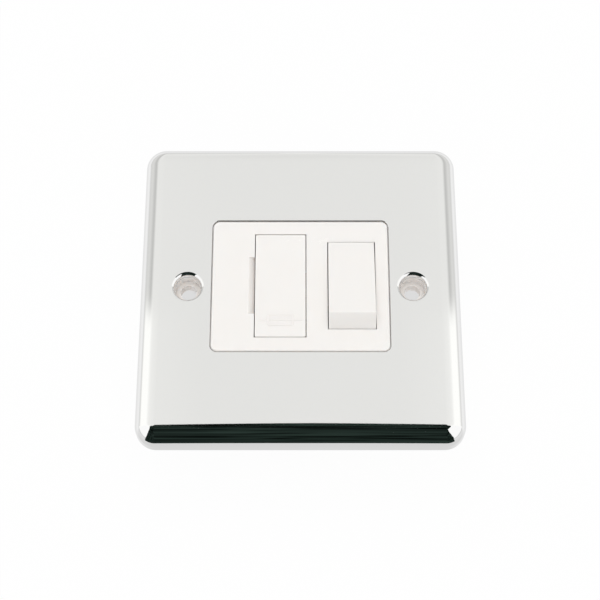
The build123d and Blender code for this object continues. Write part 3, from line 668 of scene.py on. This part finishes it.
def finish_of(name, light, dark, rough, scales, bump, metallic=0.0, glow_depth=0.0):
    """A material whose tone, roughness and fine relief drift over the surface: light and dark tones,
    a range of roughness, the scales of the slow drift and the fine grain, the relief's strength and
    height in metres, and the depth in metres to which light glows within it."""
    material, tree, out = empty_material(name)
    link = tree.links.new
    shade = new_node(tree, "ShaderNodeBsdfPrincipled", {"Metallic": metallic, "IOR": SURFACE_IOR})
    if glow_depth:
        shade.inputs["Subsurface Weight"].default_value = 1.0
        shade.inputs["Subsurface Radius"].default_value = GLOW_TINT
        shade.inputs["Subsurface Scale"].default_value = glow_depth
    drift = new_node(tree, "ShaderNodeGroup", node_tree=MOTTLE)
    drift.inputs["Light"].default_value = (*light, 1)
    drift.inputs["Dark"].default_value = (*dark, 1)
    drift.inputs["Slow Scale"].default_value = scales[0]
    drift.inputs["Fine Scale"].default_value = scales[1]
    drift.inputs["Smooth Roughness"].default_value = rough[0]
    drift.inputs["Rough Roughness"].default_value = rough[1]
    relief = new_node(tree, "ShaderNodeBump", {"Strength": bump[0], "Distance": bump[1]})
    link(drift.outputs["Color"], shade.inputs["Base Color"])
    link(drift.outputs["Roughness"], shade.inputs["Roughness"])
    link(drift.outputs["Height"], relief.inputs["Height"])
    link(relief.outputs["Normal"], shade.inputs["Normal"])
    link(shade.outputs["BSDF"], out.inputs["Surface"])
    return material


def wear(piece, material):
    """Gives a piece one material in place of what it has."""
    piece.data.materials.clear()
    piece.data.materials.append(material)


WHITE_MOULDING = {
    "light": (0.942, 0.898, 0.870), "dark": (0.932, 0.888, 0.860), "rough": (0.22, 0.28),
    "scales": (60, 2600), "bump": (0.05, 0.00002)}
LOOKS = {
    "polished_plate": {
        "light": (0.965, 0.965, 0.96), "dark": (0.95, 0.95, 0.945), "rough": (0.03, 0.05),
        "scales": (25, 900), "bump": (0.02, 0.00001), "metallic": 1.0},
    "white_face": {**WHITE_MOULDING, "glow_depth": 0.0003},
    "white_relief": WHITE_MOULDING,
    "white_body": {
        "light": (0.87, 0.85, 0.82), "dark": (0.84, 0.82, 0.79), "rough": (0.42, 0.55),
        "scales": (50, 6000), "bump": (0.25, 0.00003)},
    "zinc_screws": {
        "light": (0.72, 0.74, 0.76), "dark": (0.58, 0.58, 0.55), "rough": (0.25, 0.42),
        "scales": (300, 3000), "bump": (0.15, 0.00003), "metallic": 1.0},
    "spring_wire": {
        "light": (0.55, 0.55, 0.56), "dark": (0.42, 0.42, 0.42), "rough": (0.25, 0.4),
        "scales": (300, 3000), "bump": (0.15, 0.00002), "metallic": 1.0},
    "fuse_ceramic": {
        "light": (0.88, 0.86, 0.81), "dark": (0.82, 0.79, 0.73), "rough": (0.5, 0.65),
        "scales": (200, 5000), "bump": (0.3, 0.00003)},
    "plated_caps": {
        "light": (0.76, 0.73, 0.68), "dark": (0.66, 0.63, 0.58), "rough": (0.18, 0.32),
        "scales": (250, 2500), "bump": (0.1, 0.00002), "metallic": 1.0},
    "bronze_strip": {
        "light": (0.72, 0.50, 0.30), "dark": (0.58, 0.38, 0.22), "rough": (0.25, 0.4),
        "scales": (200, 2500), "bump": (0.12, 0.00002), "metallic": 1.0},
    "copper_arms": {
        "light": (0.76, 0.45, 0.32), "dark": (0.60, 0.33, 0.23), "rough": (0.25, 0.42),
        "scales": (200, 2500), "bump": (0.12, 0.00002), "metallic": 1.0},
    "brass": {
        "light": (0.80, 0.64, 0.33), "dark": (0.66, 0.51, 0.25), "rough": (0.2, 0.36),
        "scales": (220, 2600), "bump": (0.12, 0.00002), "metallic": 1.0},
    "plunger_plastic": {
        "light": (0.85, 0.83, 0.79), "dark": (0.80, 0.78, 0.74), "rough": (0.3, 0.4),
        "scales": (100, 4000), "bump": (0.1, 0.00002)},
    "silver_tips": {
        "light": (0.82, 0.81, 0.78), "dark": (0.70, 0.69, 0.66), "rough": (0.22, 0.4),
        "scales": (400, 4000), "bump": (0.15, 0.00002), "metallic": 1.0},
}
FINISHES = {name: finish_of(name, **look) for name, look in LOOKS.items()}
for node, slot in SLOTS.items():
    wear(NODES[node], FINISHES[slot])
for piece in copies:
    wear(piece, FINISHES[SLOTS[piece.name.removesuffix("_smooth")]])
wear(mark, FINISHES["white_relief"])
wear(lip, FINISHES["white_relief"])
wear(plate, FINISHES["polished_plate"])
for piece in screws:
    wear(piece, FINISHES["zinc_screws"])


# Stage, lights and camera. Lengths here are in metres and angles in degrees

FLOOR_Z = CAD_BOX[0].z
FLOOR_SIZE = 3.0
FLOOR_COLOUR = (0.9, 0.9, 0.9, 1)
FLOOR_GLOW = 0.96
FLOOR_FILL = 0.6
FLOOR_RUN = 0.4
# Painted reflection of the floor: its level by the distance out from the plate's sides, lower close to
# them as painted shade
PAINTED_FLOOR_SHINE = ((0.0, 0.8), (0.05, 0.81), (0.15, 0.89), (0.35, 0.88), (0.8, 0.74))
# Painted shade: the floor's level in reflections drops to a share of itself in front of the plate
FLOOR_FRONT = (-0.05, -0.04)
FLOOR_FRONT_SHADE = 0.86
# Painted shadow: the floor's plain light drops to a lower level under the unit, within these spans
PAINTED_SHADOW_X = (0.036, 0.042)
PAINTED_SHADOW_Y = (0.016, 0.03)
PAINTED_SHADOW_LEVEL = 0.72
DOME_R = 2.5
SCREEN_GRID = (190, 361)
SCREEN_START = 1.0
SCREEN_REACH = 90.0
SCREEN_CHANGE = (67.6, 69.2)
SCREEN_END = (86.0, 88.0)
SCREEN_MIDDLE = (8, 20)
SCREEN_WHITE = 1.04
SCREEN_TINT = (1.0, 1.0, 0.981)
UPPER_LEVELS = ((5, 10, 30, 44, 52, 68, 90), (0.8, 0.82, 0.82, 0.55, 0.58, 0.71, 0.68))
LOWER_LEVELS = ((5, 8, 14, 25, 38, 77, 86, 90), (0.8, 0.84, 0.87, 0.91, 1.04, 1.04, 0.77, 0.75))
MIDDLE_TONE = ((0, 30, 45, 64), (1.01, 0.95, 0.96, 1.0))
FLAG_GRID = (49, 90)
FLAG_R = 2.4
FLAG_TOP = 76.2
FLAG_BOW = 11.5
FLAG_BOW_POWER = 1.5
FLAG_FOOT = 182.0
FLAG_STEPS = (77, 86, 92, 104, 120, 140, 166, 182)
FLAG_LEFT = (18, 18.4, 21.5, 26, 33, 39, 43.5, 45)
FLAG_RIGHT = (19, 19.5, 19.5, 12.2, 18, 28.5, 38, 41)
APRON_GRID = (20, 25)
APRON_NEAR = 0.079
APRON_NEAR_HALF = (0.078, 0.072)
APRON_FAR_SHARE = (1.0, 0.78)
APRON_BOW = 0.024
APRON_LIFT = 0.0004
DARK_CARD = (0.0056, 0.0090, 0.0076)
STREAK_PLACE = {"Rotation": (0, 0.1, 0), "Scale": (1.6, 0.9, 0.9)}
STREAK_NOISE = {"Scale": 2.2, "Detail": 4.0, "Roughness": 0.6, "Distortion": 0.6}
STREAK_RANGE = (0.36, 0.7, 0.2, 4.5)
WORLD_LIGHT = 0.75
LAMP_SIZE = 1.0
LAMPS = (("overhead_lamp", (0, 0.35, 1.0), 3.4), ("front_lamp", (0, -1.0, 0.6), 2.0))
CAMERA_ELEVATION = 66.9
CAMERA_DISTANCE = 0.374
CAMERA_LENS = 84.0
CAMERA_SENSOR = 36.0
CAMERA_SHIFT = (-0.0007, -0.0219)
CAMERA_NEAR = 0.01


def combined(tree, operation, *sources):
    """One step of arithmetic on values, each of them another node's output or a plain number."""
    made = new_node(tree, "ShaderNodeMath", operation=operation)
    for socket, source in zip(made.inputs, sources):
        if isinstance(source, float):
            socket.default_value = source
        else:
            tree.links.new(source, socket)
    return made.outputs[0]


def stage_piece(name, points, quads):
    """A floor or card of the studio, not part of the object."""
    mesh = bpy.data.meshes.new(name)
    mesh.from_pydata(points.tolist(), [], quads.tolist())
    piece = bpy.data.objects.new(name, mesh)
    bpy.context.scene.collection.objects.link(piece)
    return piece


def card_grid(name, points):
    """A studio card from a grid of points (rows, columns, 3)."""
    rows, cols = points.shape[:2]
    index = np.arange(rows * cols).reshape(rows, cols)
    quads = np.stack([index[:-1, :-1], index[1:, :-1], index[1:, 1:], index[:-1, 1:]], axis=-1)
    return stage_piece(name, points.reshape(-1, 3), quads.reshape(-1, 4))


def smooth_step(low, high, value):
    """A soft step from 0 at low to 1 at high."""
    t = np.clip((value - low) / (high - low), 0, 1)
    return t * t * (3 - 2 * t)


def far_screen():
    """Screen behind the object: a dome about +Y, painted in greys. Its level is a function of two
    angles: off, measured from +Y, and side, measured round +Y from straight above. Up to
    SCREEN_CHANGE it follows the upper levels, past it the lower ones, with its middle toned by off,
    and past SCREEN_END it is white."""
    reach = np.linspace(SCREEN_START, SCREEN_REACH, SCREEN_GRID[0])
    off, turn = np.meshgrid(reach, np.linspace(0, 2 * pi, SCREEN_GRID[1]), indexing="ij")
    a = np.radians(off)
    points = DOME_R * np.dstack([np.sin(a) * np.cos(turn), np.cos(a), np.sin(a) * np.sin(turn)])
    side = np.degrees(np.abs(np.arctan2(np.cos(turn), np.sin(turn))))
    upper = np.interp(side, *UPPER_LEVELS)
    lower = np.interp(side, *LOWER_LEVELS)
    level = upper + (lower - upper) * smooth_step(*SCREEN_CHANGE, off)
    level *= 1 + (np.interp(off, *MIDDLE_TONE) - 1) * (1 - smooth_step(*SCREEN_MIDDLE, side))
    level += (SCREEN_WHITE - level) * smooth_step(*SCREEN_END, off)
    screen = card_grid("far_screen", points)
    paint = screen.data.attributes.new("level", "FLOAT", "POINT")
    paint.data.foreach_set("value", level.reshape(-1))
    return screen


def dark_flag():
    """Dark card over the camera: part of a dome, from a little short of the zenith to the near
    horizon, which widens on the way down between two edges given as angles off its middle line. Its
    top edge bows down to its ends by a power of the distance from the middle."""
    t, share = np.meshgrid(*(np.linspace(0, 1, count) for count in FLAG_GRID))
    top = FLAG_TOP + FLAG_BOW * np.abs(2 * t - 1) ** FLAG_BOW_POWER
    along = top + (FLAG_FOOT - top) * share
    left = np.interp(along, FLAG_STEPS, FLAG_LEFT)
    right = np.interp(along, FLAG_STEPS, FLAG_RIGHT)
    a = np.radians(along)
    b = np.radians(right * t - left * (1 - t))
    points = FLAG_R * np.dstack([np.sin(b), np.cos(b) * np.cos(a), np.cos(b) * np.sin(a)])
    return card_grid("dark_flag", points)


def dark_apron():
    """The dark card's foot on the floor: rows from near the plate, where the middle stands further
    off by a parabola, out to the flag, which widen between two straight edges."""
    rows, columns = APRON_GRID
    t, k = np.meshgrid(np.linspace(0, 1, rows) ** 3, np.linspace(-1, 1, columns), indexing="ij")
    near = np.where(k < 0, *APRON_NEAR_HALF)
    far = DOME_R * np.where(k < 0, *APRON_FAR_SHARE)
    width = near * (1 - t) + far * t
    bow = APRON_BOW * (1 - k * k) * (1 - t)
    y = -(APRON_NEAR * (1 - t) + DOME_R * t) - bow
    z = np.full_like(t, FLOOR_Z + APRON_LIFT)
    return card_grid("dark_apron", np.dstack([k * width, y, z]))


def reflected(card, tint):
    """Makes a card show in reflections alone: it lights nothing and casts no shadow. Gives its shader
    tree and its light, whose strength is still to be set."""
    material, tree, out = empty_material(card.name)
    light = new_node(tree, "ShaderNodeEmission", {"Color": (*tint, 1)})
    tree.links.new(light.outputs["Emission"], out.inputs["Surface"])
    wear(card, material)
    card.visible_camera = False
    card.visible_diffuse = False
    card.visible_transmission = False
    card.visible_shadow = False
    return tree, light


def painted(card, tint):
    """A reflected card whose level is painted on it as an attribute."""
    tree, light = reflected(card, tint)
    paint = new_node(tree, "ShaderNodeAttribute", attribute_name="level")
    tree.links.new(paint.outputs["Fac"], light.inputs["Strength"])


def streaked(card, tint):
    """A dark reflected card with soft streaks across it."""
    tree, light = reflected(card, tint)
    link = tree.links.new
    where = new_node(tree, "ShaderNodeTexCoord")
    place = new_node(tree, "ShaderNodeMapping", STREAK_PLACE)
    lines = new_node(tree, "ShaderNodeTexNoise", STREAK_NOISE)
    link(where.outputs["Object"], place.inputs["Vector"])
    link(place.outputs["Vector"], lines.inputs["Vector"])
    link(ranged(tree, lines.outputs["Fac"], *STREAK_RANGE), light.inputs["Strength"])


def floor_levels(tree):
    """Two levels of the floor's light over its plan, painted over its lit shading: one for reflections,
    which follows the distance out from the plate's sides, is lower close to them as painted shade and
    drops in front of the plate as painted shade, and a plain one, dimmer under the unit as a painted
    shadow."""
    link = tree.links.new
    where = new_node(tree, "ShaderNodeTexCoord")
    split = new_node(tree, "ShaderNodeSeparateXYZ")
    link(where.outputs["Object"], split.inputs[0])
    across = combined(tree, "ABSOLUTE", split.outputs["X"])
    deep = combined(tree, "ABSOLUTE", split.outputs["Y"])
    tone = new_node(tree, "ShaderNodeValToRGB")
    stops = tone.color_ramp.elements
    while len(stops) < len(PAINTED_FLOOR_SHINE):
        stops.new(0.5)
    for stop, (place, level) in zip(stops, PAINTED_FLOOR_SHINE):
        stop.position = place
        stop.color = (level, level, level, 1)
    side = PLATE_HALF * MM
    # painted shade in reflections: lower near the plate's sides and in front of it
    link(ranged(tree, across, side, side + FLOOR_RUN), tone.inputs["Fac"])
    front = ranged(tree, split.outputs["Y"], *FLOOR_FRONT, FLOOR_FRONT_SHADE, 1.0)
    shine = combined(tree, "MULTIPLY", tone.outputs["Color"], front)
    # painted shadow under the unit
    under_x = ranged(tree, across, *PAINTED_SHADOW_X, 1.0, 0.0)
    under_y = ranged(tree, deep, *PAINTED_SHADOW_Y, 1.0, 0.0)
    under = combined(tree, "MULTIPLY", under_x, under_y)
    return shine, ranged(tree, under, 0.0, 1.0, 1.0, PAINTED_SHADOW_LEVEL)


def floor_piece():
    """Plain white floor at the back of the housing, which keeps a faint real shadow of the object and a
    painted shadow under the unit. Rays from the camera and from matt surfaces see mostly its plain
    light, reflections see its painted shine alone, and from below it is clear."""
    s = FLOOR_SIZE
    corners = np.array([[-s, -s, FLOOR_Z], [s, -s, FLOOR_Z], [s, s, FLOOR_Z], [-s, s, FLOOR_Z]])
    floor = stage_piece("floor", corners, np.array([[0, 1, 2, 3]]))
    material, tree, out = empty_material("floor")
    link = tree.links.new
    matt = new_node(tree, "ShaderNodeBsdfDiffuse", {"Color": FLOOR_COLOUR})
    light = new_node(tree, "ShaderNodeEmission", {"Color": (1, 1, 1, 1)})
    path = new_node(tree, "ShaderNodeLightPath").outputs
    shine, plain = floor_levels(tree)
    strength = new_node(tree, "ShaderNodeMix")
    link(path["Is Glossy Ray"], strength.inputs["Factor"])
    link(plain, strength.inputs["A"])
    link(shine, strength.inputs["B"])
    link(strength.outputs["Result"], light.inputs["Strength"])
    through = combined(tree, "MAXIMUM", path["Is Glossy Ray"], path["Is Transmission Ray"])
    filling = combined(tree, "MULTIPLY_ADD", path["Is Diffuse Ray"], FLOOR_FILL, through)
    glowing = combined(tree, "MULTIPLY_ADD", path["Is Camera Ray"], FLOOR_GLOW, filling)
    mix = new_node(tree, "ShaderNodeMixShader")
    link(glowing, mix.inputs["Fac"])
    link(matt.outputs["BSDF"], mix.inputs[1])
    link(light.outputs["Emission"], mix.inputs[2])
    facing = new_node(tree, "ShaderNodeNewGeometry")
    clear = new_node(tree, "ShaderNodeBsdfTransparent")
    one_way = new_node(tree, "ShaderNodeMixShader")
    link(facing.outputs["Backfacing"], one_way.inputs["Fac"])
    link(mix.outputs["Shader"], one_way.inputs[1])
    link(clear.outputs["BSDF"], one_way.inputs[2])
    link(one_way.outputs["Shader"], out.inputs["Surface"])
    wear(floor, material)


def studio_world():
    """White surroundings: a strength of 1 where they are seen or reflected, less where they light."""
    world = bpy.data.worlds.new("studio")
    bpy.context.scene.world = world
    world.use_nodes = True
    tree = world.node_tree
    tree.nodes.clear()
    link = tree.links.new
    out = new_node(tree, "ShaderNodeOutputWorld")
    back = new_node(tree, "ShaderNodeBackground", {"Color": (1, 1, 1, 1)})
    path = new_node(tree, "ShaderNodeLightPath").outputs
    seen = combined(tree, "ADD", path["Is Camera Ray"], path["Is Glossy Ray"])
    shown = combined(tree, "ADD", seen, path["Is Transmission Ray"])
    link(ranged(tree, shown, 0.0, 1.0, WORLD_LIGHT, 1.0), back.inputs["Strength"])
    link(back.outputs["Background"], out.inputs["Surface"])


def soft_lamp(name, place, power):
    """A large square lamp, aimed at the origin, that lights the object and does not show in
    reflections."""
    lamp = bpy.data.lights.new(name, "AREA")
    lamp.shape = "SQUARE"
    lamp.size = LAMP_SIZE
    lamp.energy = power
    holder = bpy.data.objects.new(name, lamp)
    bpy.context.scene.collection.objects.link(holder)
    holder.location = place
    holder.rotation_euler = (-Vector(place)).to_track_quat("-Z", "Y").to_euler()
    holder.visible_glossy = False


def photograph_camera():
    """Camera in front of the plate and well above it, aimed at the middle of its face."""
    lens = bpy.data.cameras.new("camera")
    lens.sensor_width = CAMERA_SENSOR
    lens.lens = CAMERA_LENS
    lens.shift_x, lens.shift_y = CAMERA_SHIFT
    lens.clip_start = CAMERA_NEAR
    holder = bpy.data.objects.new("camera", lens)
    bpy.context.scene.collection.objects.link(holder)
    e = radians(CAMERA_ELEVATION)
    holder.location = (0, -CAMERA_DISTANCE * cos(e), PLATE_FACE * MM + CAMERA_DISTANCE * sin(e))
    holder.rotation_euler = (pi / 2 - e, 0, 0)
    bpy.context.scene.camera = holder


floor_piece()
painted(far_screen(), SCREEN_TINT)
streaked(dark_flag(), DARK_CARD)
streaked(dark_apron(), DARK_CARD)
studio_world()
for lamp_name, lamp_place, lamp_power in LAMPS:
    soft_lamp(lamp_name, lamp_place, lamp_power)
photograph_camera()
bpy.context.scene.view_settings.view_transform = "Standard"
